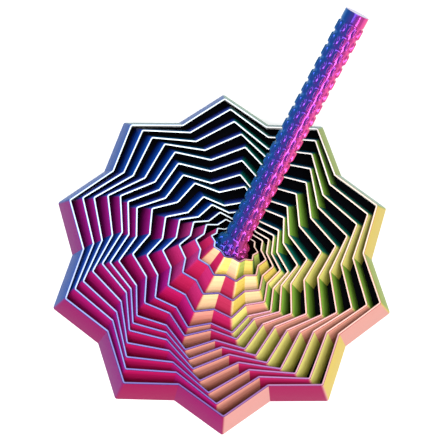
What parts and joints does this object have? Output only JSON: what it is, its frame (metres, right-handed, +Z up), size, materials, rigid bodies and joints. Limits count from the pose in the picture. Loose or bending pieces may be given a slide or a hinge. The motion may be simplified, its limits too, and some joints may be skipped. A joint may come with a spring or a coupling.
{
  "type": "nested star cone desk toy",
  "caption": "Flat nest of flared star rings, each loose inside the next, with a scaled rod standing from the smallest; the rings turn, tilt and follow the rod.",
  "frame": {"origin": "middle of the footprint on the table, under the nest", "axes": "+Z up out of the table, +Y the way the rod leans, +X to the right when looking along +Y"},
  "size_m": [0.0782, 0.09, 0.0427],
  "materials": {
    "ring_01": "silk sheen that shifts between magenta, blue and gold with the way a face points",
    "ring_02": "silk sheen that shifts between magenta, blue and gold with the way a face points",
    "ring_03": "silk sheen that shifts between magenta, blue and gold with the way a face points",
    "ring_04": "silk sheen that shifts between magenta, blue and gold with the way a face points",
    "ring_05": "silk sheen that shifts between magenta, blue and gold with the way a face points",
    "ring_06": "silk sheen that shifts between magenta, blue and gold with the way a face points",
    "ring_07": "silk sheen that shifts between magenta, blue and gold with the way a face points",
    "ring_08": "silk sheen that shifts between magenta, blue and gold with the way a face points",
    "ring_09": "silk sheen that shifts between magenta, blue and gold with the way a face points",
    "ring_10": "silk sheen that shifts between magenta, blue and gold with the way a face points",
    "ring_11": "silk sheen that shifts between magenta, blue and gold with the way a face points",
    "ring_12": "silk sheen that shifts between magenta, blue and gold with the way a face points",
    "ring_13": "silk sheen that shifts between magenta, blue and gold with the way a face points",
    "rod": "silk sheen that shifts between magenta, blue and gold with the way a face points"
  },
  "bodies": {
    "ring_01": {"ring_01": "ring_01"},
    "ring_02": {"ring_02": "ring_02"},
    "ring_03": {"ring_03": "ring_03"},
    "ring_04": {"ring_04": "ring_04"},
    "ring_05": {"ring_05": "ring_05"},
    "ring_06": {"ring_06": "ring_06"},
    "ring_07": {"ring_07": "ring_07"},
    "ring_08": {"ring_08": "ring_08"},
    "ring_09": {"ring_09": "ring_09"},
    "ring_10": {"ring_10": "ring_10"},
    "ring_11": {"ring_11": "ring_11"},
    "ring_12": {"ring_12": "ring_12"},
    "ring_13": {"ring_13": "ring_13"},
    "rod": {"rod": "rod"}
  },
  "joints": [
    {"name": "ring_02_turn", "type": "hinge", "parent": "ring_01", "child": "ring_02", "pos_m": [-0.0001, -0.0053, 0], "axis": [0, 0, 1], "range_deg": [-1.5, 6]},
    {"name": "ring_03_turn", "type": "hinge", "parent": "ring_02", "child": "ring_03", "pos_m": [-0.0003, -0.00579, 0], "axis": [0, 0, 1], "range_deg": [0, 5]},
    {"name": "ring_04_turn", "type": "hinge", "parent": "ring_03", "child": "ring_04", "pos_m": [-0.0003, -0.0061, 0], "axis": [0, 0, 1], "range_deg": [0, 7.5]},
    {"name": "ring_05_turn", "type": "hinge", "parent": "ring_04", "child": "ring_05", "pos_m": [-0.00041, -0.00651, 0], "axis": [0, 0, 1], "range_deg": [0, 7.5]},
    {"name": "ring_06_turn", "type": "hinge", "parent": "ring_05", "child": "ring_06", "pos_m": [-0.00081, -0.00741, 0], "axis": [0, 0, 1], "range_deg": [0, 3.5]},
    {"name": "ring_07_turn", "type": "hinge", "parent": "ring_06", "child": "ring_07", "pos_m": [-0.00102, -0.0083, 0], "axis": [0, 0, 1], "range_deg": [0, 4.5]},
    {"name": "ring_08_turn", "type": "hinge", "parent": "ring_07", "child": "ring_08", "pos_m": [-0.00071, -0.008, 0], "axis": [0, 0, 1], "range_deg": [-1, 10]},
    {"name": "ring_09_turn", "type": "hinge", "parent": "ring_08", "child": "ring_09", "pos_m": [0.00019, -0.00849, 0], "axis": [0, 0, 1], "range_deg": [0, 6]},
    {"name": "ring_10_tilt", "type": "hinge", "parent": "ring_09", "child": "ring_10", "pos_m": [0, 0.00846, -0.00112], "axis": [1, 0, 0], "range_deg": [0, 4]},
    {"name": "ring_11_tilt", "type": "hinge", "parent": "ring_10", "child": "ring_11", "pos_m": [0, 0.00481, 0.00116], "axis": [1, 0, 0], "range_deg": [0, 7.47]},
    {"name": "ring_12_tilt", "type": "hinge", "parent": "ring_11", "child": "ring_12", "pos_m": [0, 0.00087, 0.00266], "axis": [1, 0, 0], "range_deg": [0, 10.53]},
    {"name": "ring_13_tilt", "type": "hinge", "parent": "ring_12", "child": "ring_13", "pos_m": [0, -0.00313, 0.00499], "axis": [1, 0, 0], "range_deg": [0, 15.51]},
    {"name": "rod_lean", "type": "hinge", "parent": "ring_13", "child": "rod", "pos_m": [0, -0.00556, 0.00771], "axis": [1, 0, 0], "range_deg": [0, 18.83]}
  ],
  "couplings": [
    {"joint": "ring_11_tilt", "follows": "ring_10_tilt", "ratio": 1.8675},
    {"joint": "ring_12_tilt", "follows": "ring_10_tilt", "ratio": 2.6325},
    {"joint": "ring_13_tilt", "follows": "ring_10_tilt", "ratio": 3.8775},
    {"joint": "rod_lean", "follows": "ring_10_tilt", "ratio": 4.7075}
  ]
}
